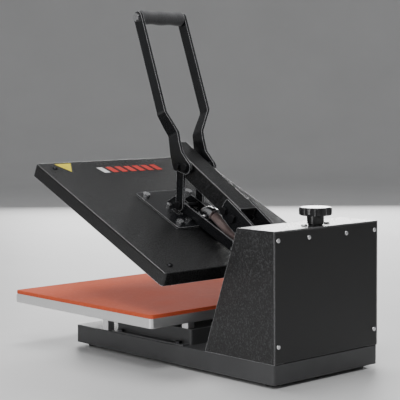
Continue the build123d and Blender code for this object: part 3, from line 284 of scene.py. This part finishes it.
def circuit_board():
    """Green solder mask over raised tracks."""
    material, tree, shader = new_material("circuit_board")
    turned = object_coords(tree, turn=(0.35, 0, 0))
    tracks = remap(tree, cells(tree, turned, 300.0, smooth=0.05), 0.28, 0.34)
    tint = mixed(tree, tracks, (0.012, 0.085, 0.03), (0.02, 0.15, 0.055))
    broad = noise(tree, object_coords(tree), 80.0)
    rough = remap(tree, broad, 0.3, 0.7, to_low=0.3, to_high=0.45)
    tree.links.new(tint, shader.inputs["Base Color"])
    tree.links.new(rough, shader.inputs["Roughness"])
    bumped(tree, shader, tracks, strength=0.3, distance=0.00005)
    return material


def smoked_window():
    """Dark red window with faint finger smears."""
    material, tree, shader = new_material("smoked_window")
    smears = noise(tree, object_coords(tree), 45.0, detail=5.0, roughness=0.6, distortion=0.8)
    tint = mixed(tree, remap(tree, smears, 0.3, 0.7), (0.020, 0.003, 0.003), (0.035, 0.006, 0.005))
    rough = remap(tree, smears, 0.3, 0.7, to_low=0.05, to_high=0.16)
    tree.links.new(tint, shader.inputs["Base Color"])
    tree.links.new(rough, shader.inputs["Roughness"])
    shader.inputs["Coat Weight"].default_value = 0.4
    return material


def printed_ink(name, color, chipped):
    """Screen-printed ink or a vinyl label on the cover, slightly worn through."""
    material, tree, shader = new_material(name)
    vector = object_coords(tree)
    chips = noise(tree, vector, 240.0, detail=6.0, roughness=0.7)
    tint = mixed(tree, remap(tree, noise(tree, vector, 40.0), 0.3, 0.7), color, scaled(color, 0.8))
    tint = mixed(tree, remap(tree, chips, 0.62, 0.72, to_high=chipped), tint, (0.03, 0.03, 0.03))
    tree.links.new(tint, shader.inputs["Base Color"])
    shader.inputs["Roughness"].default_value = 0.38
    bumped(tree, shader, noise(tree, vector, 700.0), strength=0.2, distance=0.00003)
    return material


black_coat = powder_coat("black_coat", (0.0034, 0.0034, 0.0036), roughness=0.30, grain=380.0, depth=0.0010,
                         edge_highlight_patch_level=1.2, coat=0.06, edge_highlight_grey=0.6, glint_gain=9.0)
cover_coat = powder_coat("cover_coat", (0.0036, 0.0036, 0.0038), roughness=0.28, grain=400.0, depth=0.0008,
                         edge_highlight_patch_level=1.6, coat=0.06, edge_highlight_grey=0.95, glint_gain=5.0)
arm_coat = powder_coat("arm_coat", (0.0062, 0.0065, 0.0075), roughness=0.24, grain=1100.0, depth=0.00012,
                       edge_highlight_patch_level=1.6, coat=0.20, edge_highlight_grey=0.95)
smooth_coat = powder_coat("smooth_coat", (0.0058, 0.0058, 0.0060), roughness=0.42, grain=1300.0,
                          depth=0.00010, edge_highlight_patch_level=0.4)
base_coat = powder_coat("base_coat", (0.041, 0.0415, 0.043), roughness=0.45, grain=1200.0, depth=0.00015,
                        edge_highlight_patch_level=0.6, edge_highlight_grey=0.3)
zinc = metal("zinc", (0.86, 0.86, 0.87), roughness=0.20, brush_scale=240.0)
spring_wire = metal("spring_wire", (0.30, 0.30, 0.31), roughness=0.32, brush_scale=300.0, brush=(1, 1, 4))
black_oxide = metal("black_oxide", (0.045, 0.045, 0.048), roughness=0.38, brush_scale=260.0)
milled = metal("milled_aluminium", (0.93, 0.93, 0.93), roughness=0.36, brush_scale=260.0,
               brush=(0.12, 1, 6), stain=0.06)
cast = metal("cast_aluminium", (0.60, 0.60, 0.61), roughness=0.44, brush_scale=180.0, stain=0.2,
             depth=0.0001)
bronze = metal("bronze", (0.52, 0.36, 0.17), roughness=0.4, brush_scale=200.0, brush=(6, 1, 1), stain=0.2)
nickel = metal("nickel", (0.80, 0.80, 0.81), roughness=0.16, brush_scale=120.0, stain=0.08)
black_plastic = moulded("black_plastic", (0.012, 0.012, 0.013), roughness=0.45)
knob_plastic = moulded("knob_plastic", (0.009, 0.009, 0.010), roughness=0.30, grain=1200.0, depth=0.00002,
                       coat=0.3)
grey_plastic = moulded("grey_plastic", (0.23, 0.24, 0.26), roughness=0.5)
red_plastic = moulded("red_plastic", (0.42, 0.012, 0.008), roughness=0.28, grain=1200.0, depth=0.00002,
                      coat=0.3)
foot_rubber = moulded("foot_rubber", (0.010, 0.010, 0.010), roughness=0.85, grain=500.0, depth=0.0001)
silicone = silicone_sponge()
foam = soft_foam()
yarn = sleeve_yarn()
ink_red = printed_ink("ink_red", (0.62, 0.030, 0.020), chipped=0.5)
ink_white = printed_ink("ink_white", (0.80, 0.80, 0.79), chipped=0.5)
label_yellow = printed_ink("label_yellow", (0.86, 0.70, 0.02), chipped=0.2)
label_black = printed_ink("label_black", (0.02, 0.02, 0.02), chipped=0.2)
heat_board = fibre_board()
control_board = circuit_board()
dark_window = smoked_window()

FINISHES = {
    black_coat: ["tower_shell", "upper_arm_channel"],
    cover_coat: ["platen_cover"],
    arm_coat: ["upper_side_plate_left", "upper_side_plate_right", "lower_side_plate_left",
               "lower_side_plate_right", "lower_arm_channel", "mount_plate", "handle_bar_left",
               "handle_bar_right", "link_left", "link_right", "hinge_bracket_left", "hinge_bracket_right",
               "screw_bracket"],
    smooth_coat: ["back_cover"],
    base_coat: ["base_frame", "platen_pedestal"],
    zinc: ["tower_screws", "main_shaft", "tail_crossbar", "lower_arm_bolts", "mount_bolts",
           "handle_bolts", "grip_core", "pressure_screw", "nut_block"],
    spring_wire: ["lift_spring_left", "lift_spring_right", "shaft_circlips", "heating_element"],
    black_oxide: ["base_bolts", "cover_screws", "side_plate_bolts", "handle_pivot_bolts", "link_pin"],
    milled: ["lower_platen", "platen_posts"],
    cast: ["heating_platen"],
    bronze: ["upper_bushes", "lower_bushes"],
    nickel: ["cable_gland"],
    black_plastic: ["controller_case", "controller_bezel", "switch_frame", "power_inlet"],
    knob_plastic: ["pressure_knob"],
    grey_plastic: ["terminal_block", "button_set", "button_down", "button_up"],
    red_plastic: ["power_rocker"],
    foot_rubber: ["rubber_feet"],
    silicone: ["silicone_pad"],
    foam: ["grip_foam"],
    heat_board: ["insulation_board"],
    control_board: ["controller_board"],
    dark_window: ["display_window"],
    yarn: ["heater_lead"],
}

# At rest the link-head bolts lie below this height and the grip's bolts above it.
HANDLE_BOLTS_SPLIT = 0.45


def paint_nodes():
    for material, names in FINISHES.items():
        for name in names:
            mesh = nodes[name].data
            mesh.materials.clear()
            mesh.materials.append(material)
    # The link-head bolts are blackened, unlike the grip's bolts in the same node.
    bolts = nodes["handle_bolts"].data
    bolts.materials.append(black_oxide)
    for polygon in bolts.polygons:
        polygon.material_index = 1 if polygon.center.z < HANDLE_BOLTS_SPLIT else 0


paint_nodes()


# ---------------------------------------------------------------- mesh helpers

def mesh_object(name, verts, faces, material, smooth=True):
    mesh = bpy.data.meshes.new(name)
    mesh.from_pydata([tuple(v) for v in verts], [], faces)
    mesh.validate()
    mesh.materials.append(material)
    if smooth:
        mesh.shade_smooth()
    obj = bpy.data.objects.new(name, mesh)
    bpy.context.scene.collection.objects.link(obj)
    return obj


def face_outward(obj):
    mesh = bmesh.new()
    mesh.from_mesh(obj.data)
    bmesh.ops.recalc_face_normals(mesh, faces=mesh.faces)
    mesh.to_mesh(obj.data)
    mesh.free()


def band(first, second, around):
    """Quads that join two rings of around vertices, starting at the vertices first and second."""
    quads = []
    for step in range(around):
        after = (step + 1) % around
        quads.append((first + step, first + after, second + after, second + step))
    return quads


def open_point(x, reach, height):
    """A point of the raised upper platen, by its distance from the back edge and above the top face."""
    y = PLATEN_BACK_Y - reach - HINGE.y
    z = COVER_TOP + height - HINGE.z
    cos, sin = math.cos(-OPEN_ANGLE), math.sin(-OPEN_ANGLE)
    return Vector((x, HINGE.y + y * cos - z * sin, HINGE.z + y * sin + z * cos))


# ---------------------------------------------------------------- print and label on the cover

BAR_COUNT = 7
BAR_START_X = 0.070
BAR_PITCH = 0.0205
BAR_WIDTH = 0.0125
BAR_SLANT = 0.006
BAR_REACH = (0.333, 0.353)
LABEL_BORDER = [(0.160, 0.376), (0.114, 0.376), (0.137, 0.337)]
LABEL_FACE = [(0.1545, 0.3730), (0.1195, 0.3730), (0.137, 0.3430)]
PRINT_TOP = 0.00025
LABEL_TOP = 0.0004
PRINT_FOOT = 0.00002


def printed_patch(name, outline, material, body, top=PRINT_TOP):
    """A thin printed shape on the raised cover, from an outline of (x, reach) points."""
    count = len(outline)
    upper = [open_point(x, reach, top) for x, reach in outline]
    lower = [open_point(x, reach, PRINT_FOOT) for x, reach in outline]
    sides = [tuple(reversed(quad)) for quad in band(0, count, count)]
    faces = [tuple(range(count)), tuple(reversed(range(count, 2 * count)))] + sides
    obj = mesh_object(name, upper + lower, faces, material, smooth=False)
    face_outward(obj)
    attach(obj, body)


def make_prints():
    """A generic band of slanted bars where the cover carries its print, and a plain triangle."""
    near, far = BAR_REACH
    for index in range(BAR_COUNT):
        start = BAR_START_X - index * BAR_PITCH
        end = start - BAR_WIDTH
        outline = [(start, near), (end, near), (end + BAR_SLANT, far), (start + BAR_SLANT, far)]
        color = ink_white if index == 0 else ink_red
        printed_patch(f"print_bar_{index}", outline, color, "heated_platen")
    printed_patch("triangle_label_border", LABEL_BORDER, label_black, "heated_platen")
    printed_patch("triangle_label", LABEL_FACE, label_yellow, "heated_platen", LABEL_TOP)


make_prints()


# ---------------------------------------------------------------- foam grip

GRIP_RINGS = 64
GRIP_AROUND = 40
GRIP_EDGE = 0.0035
GRIP_BORE = 0.0066
SQUEEZE_DEPTH = 0.0006
SQUEEZE_WAVES = 7.0
GRIP_SHRINK = 0.0004
DENT_DEPTH = 0.012
DENT_WAVES = 12.0
DENT_SIDE = 0.7


def grip_ring(centre, size, dent=0.0):
    """A ring of the grip about its middle line, pressed in on one side by the share dent."""
    ring = []
    for step in range(GRIP_AROUND):
        turn = 2 * math.pi * step / GRIP_AROUND
        radius = size * (1.0 - dent * max(0.0, math.cos(turn - DENT_SIDE)))
        ring.append(centre + Vector((0.0, radius * math.cos(turn), radius * math.sin(turn))))
    return ring


def make_grip():
    """The foam sleeve, slightly squeezed where hands hold it, over its CAD solid."""
    low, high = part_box("grip_foam")
    middle = (low + high) / 2
    radius = (high.z - low.z) / 2
    half = Vector(((high.x - low.x) / 2, 0.0, 0.0))
    verts, faces = [], []
    for ring in range(GRIP_RINGS + 1):
        share = -1.0 + 2.0 * ring / GRIP_RINGS
        end = min(1.0, half.x * (1.0 - abs(share)) / GRIP_EDGE)
        crown = math.sqrt(max(0.0, 1.0 - (1.0 - end) ** 2))
        squeeze = SQUEEZE_DEPTH * math.cos(share * SQUEEZE_WAVES) - GRIP_SHRINK
        size = radius - GRIP_EDGE + GRIP_EDGE * crown + squeeze * end
        dent = DENT_DEPTH * (1.0 + math.cos(share * DENT_WAVES)) / 2
        verts += grip_ring(middle + half * share, size, dent)
    for ring in range(GRIP_RINGS):
        faces += band(ring * GRIP_AROUND, (ring + 1) * GRIP_AROUND, GRIP_AROUND)
    bore_low = len(verts)
    bore_high = bore_low + GRIP_AROUND
    verts += grip_ring(middle - half, GRIP_BORE) + grip_ring(middle + half, GRIP_BORE)
    faces += [(b, a, d, c) for a, b, c, d in band(0, bore_low, GRIP_AROUND)]
    faces += band(GRIP_RINGS * GRIP_AROUND, bore_high, GRIP_AROUND)
    faces += [(a, d, c, b) for a, b, c, d in band(bore_low, bore_high, GRIP_AROUND)]
    grip = mesh_object("foam_grip", verts, faces, foam)
    face_outward(grip)
    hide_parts("grip_foam")
    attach(grip, "handle")


make_grip()


# ---------------------------------------------------------------- braided sleeve of the heater lead

# Reach and height on the raised platen, from the gland's elbow down the channel into the tower.
LEAD_ROUTE = [(0.112, 0.0275), (0.092, 0.0235), (0.066, 0.0175), (0.032, 0.0165), (-0.005, 0.0165),
              (-0.037, 0.012), (-0.060, -0.005), (-0.080, -0.026)]
LEAD_RADIUS = 0.0084
LEAD_SAMPLES = 260
LEAD_SIDE = Vector((1.0, 0.0, 0.0))
YARNS = 12
YARN_TURN = 0.034
YARN_DEPTH = 0.00062
WEAVE_DEPTH = 0.0003
# A yarn's cross-section: angle about the lead, in radians, and height over the yarn's middle.
YARN_SECTION = [(-0.21, -0.00022), (-0.12, 0.00022), (0.12, 0.00022), (0.21, -0.00022)]
CORE_DEPTH = 0.0011
CORE_AROUND = 20


def smooth_line(points, samples):
    """Evenly spaced points along a smooth spline through the middle of the lead."""
    curve = bpy.data.curves.new("lead_line", "CURVE")
    curve.dimensions = "3D"
    spline = curve.splines.new("NURBS")
    spline.points.add(len(points) - 1)
    for target, point in zip(spline.points, points):
        target.co = (*point, 1.0)
    spline.order_u = 3
    spline.use_endpoint_u = True
    spline.resolution_u = 24
    holder = bpy.data.objects.new("lead_line", curve)
    mesh = bpy.data.meshes.new_from_object(holder)
    line = [vertex.co.copy() for vertex in mesh.vertices]
    bpy.data.objects.remove(holder)
    bpy.data.curves.remove(curve)
    bpy.data.meshes.remove(mesh)
    steps = [(after - before).length for before, after in zip(line, line[1:])]
    total = sum(steps)
    result = []
    for sample in range(samples):
        goal = total * sample / (samples - 1)
        index = 0
        while index < len(steps) - 1 and goal > steps[index]:
            goal -= steps[index]
            index += 1
        result.append(line[index].lerp(line[index + 1], min(1.0, goal / steps[index])))
    return result, total


def outward(line, step, turn):
    """The direction away from the line at one of its points, turned about it from LEAD_SIDE."""
    ahead = line[min(step + 1, len(line) - 1)] - line[max(step - 1, 0)]
    across = ahead.normalized().cross(LEAD_SIDE)
    return LEAD_SIDE * math.cos(turn) + across * math.sin(turn)


def make_braid(line, length):
    """Two sets of flat yarns wound opposite ways, passing over and under each other."""
    spacing = length / (LEAD_SAMPLES - 1)
    width = len(YARN_SECTION)
    verts, faces = [], []
    for direction in (1, -1):
        for index in range(YARNS):
            first = len(verts)
            for step, point in enumerate(line):
                turn = direction * 2 * math.pi * step * spacing / YARN_TURN + 2 * math.pi * index / YARNS
                weave = math.cos(YARNS * direction * turn / 2 + (0 if direction > 0 else math.pi))
                radius = LEAD_RADIUS - YARN_DEPTH + WEAVE_DEPTH * weave
                for offset, height in YARN_SECTION:
                    verts.append(point + outward(line, step, turn + offset) * (radius + height))
            for step in range(LEAD_SAMPLES - 1):
                for strip in range(width - 1):
                    a = first + step * width + strip
                    face = (a, a + 1, a + width + 1, a + width)
                    faces.append(face if direction > 0 else tuple(reversed(face)))
    return mesh_object("lead_braid", verts, faces, yarn)


def make_core(line):
    """The closed tube under the yarns."""
    verts, faces = [], []
    for step, point in enumerate(line):
        for corner in range(CORE_AROUND):
            turn = 2 * math.pi * corner / CORE_AROUND
            verts.append(point + outward(line, step, turn) * (LEAD_RADIUS - CORE_DEPTH))
    for step in range(len(line) - 1):
        faces += band(step * CORE_AROUND, (step + 1) * CORE_AROUND, CORE_AROUND)
    faces.append(tuple(reversed(range(CORE_AROUND))))
    faces.append(tuple(range(len(verts) - CORE_AROUND, len(verts))))
    return mesh_object("lead_core", verts, faces, yarn)


def make_sleeve():
    route = [open_point(0.0, reach, height) for reach, height in LEAD_ROUTE]
    line, length = smooth_line(route, LEAD_SAMPLES)
    sleeve = make_braid(line, length)
    core = make_core(line)
    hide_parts("heater_lead")
    for piece in (sleeve, core):
        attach(piece, "heated_platen")


make_sleeve()


# ---------------------------------------------------------------- studio

FLOOR_RINGS = (1.2, 2.6, 4.2)
SWEEP_RADIUS = 1.6
SWEEP_STEPS = 12
WALL_HEIGHT = 5.5
FLOOR_AROUND = 72


def floor_material():
    material, tree, shader = new_material("pale_floor")
    broad = noise(tree, object_coords(tree), 3.0, detail=3.0)
    tint = mixed(tree, remap(tree, broad, 0.3, 0.7), (0.60, 0.60, 0.60), (0.63, 0.63, 0.63))
    tree.links.new(tint, shader.inputs["Base Color"])
    shader.inputs["Roughness"].default_value = 0.6
    return material


def make_floor():
    """A round pale floor that sweeps up into a wall far from the press."""
    flat = FLOOR_RINGS[-1]
    profile = [(radius, 0.0) for radius in FLOOR_RINGS]
    for step in range(1, SWEEP_STEPS + 1):
        turn = math.radians(90.0 * step / SWEEP_STEPS)
        profile.append((flat + SWEEP_RADIUS * math.sin(turn), SWEEP_RADIUS * (1.0 - math.cos(turn))))
    profile.append((flat + SWEEP_RADIUS, WALL_HEIGHT))
    verts = [(0.0, 0.0, 0.0)]
    for radius, height in profile:
        for step in range(FLOOR_AROUND):
            turn = 2 * math.pi * step / FLOOR_AROUND
            verts.append((radius * math.cos(turn), radius * math.sin(turn), height))
    faces = [(0, 1 + step, 1 + (step + 1) % FLOOR_AROUND) for step in range(FLOOR_AROUND)]
    for ring in range(len(profile) - 1):
        first = 1 + ring * FLOOR_AROUND
        faces += [(a, d, c, b) for a, b, c, d in band(first, first + FLOOR_AROUND, FLOOR_AROUND)]
    return mesh_object("studio_floor", verts, faces, floor_material())


def area_light(name, place, target, size, power, size_y=None):
    data = bpy.data.lights.new(name, "AREA")
    data.energy = power
    data.shape = "RECTANGLE"
    data.size = size
    data.size_y = size_y or size
    light = bpy.data.objects.new(name, data)
    light.location = place
    light.rotation_euler = (Vector(target) - Vector(place)).to_track_quat("-Z", "Y").to_euler()
    bpy.context.scene.collection.objects.link(light)


def make_studio():
    make_floor()
    world = bpy.data.worlds.new("studio")
    world.use_nodes = True
    background = world.node_tree.nodes["Background"]
    background.inputs["Color"].default_value = (0.92, 0.93, 0.95, 1.0)
    background.inputs["Strength"].default_value = 0.30
    bpy.context.scene.world = world
    centre = (0.0, 0.0, 0.25)
    area_light("key", (1.3, 1.2, 2.6), centre, size=1.0, power=36.0)
    area_light("front_window", (-2.0, -2.0, 0.75), (0.0, 0.1, 0.25), size=1.8, power=60.0, size_y=0.9)
    area_light("right_strip", (2.4, 0.1, 0.8), centre, size=0.35, power=20.0, size_y=1.7)
    area_light("top", (-0.2, -0.5, 2.6), centre, size=1.2, power=44.0)


# ---------------------------------------------------------------- camera

CAMERA_PLACE = (1.4916, 1.5940, 0.4470)
CAMERA_YAW = math.radians(42.249)
CAMERA_PITCH = math.radians(4.709)
CAMERA_ROLL = math.radians(-0.401)
CAMERA_LENS = 116.109
CAMERA_SENSOR = 36.0


def make_camera():
    level = math.cos(CAMERA_PITCH)
    forward = Vector((-math.sin(CAMERA_YAW) * level, -math.cos(CAMERA_YAW) * level, -math.sin(CAMERA_PITCH)))
    right = Vector((-math.cos(CAMERA_YAW), math.sin(CAMERA_YAW), 0.0))
    up = right.cross(forward)
    turned_right = right * math.cos(CAMERA_ROLL) + up * math.sin(CAMERA_ROLL)
    turned_up = up * math.cos(CAMERA_ROLL) - right * math.sin(CAMERA_ROLL)
    data = bpy.data.cameras.new("photo_angle")
    data.sensor_width = CAMERA_SENSOR
    data.lens = CAMERA_LENS
    data.clip_start = 0.05
    camera = bpy.data.objects.new("photo_angle", data)
    axes = Matrix((turned_right, turned_up, -forward)).transposed().to_4x4()
    camera.matrix_world = Matrix.Translation(CAMERA_PLACE) @ axes
    bpy.context.scene.collection.objects.link(camera)
    bpy.context.scene.camera = camera


make_studio()
make_camera()
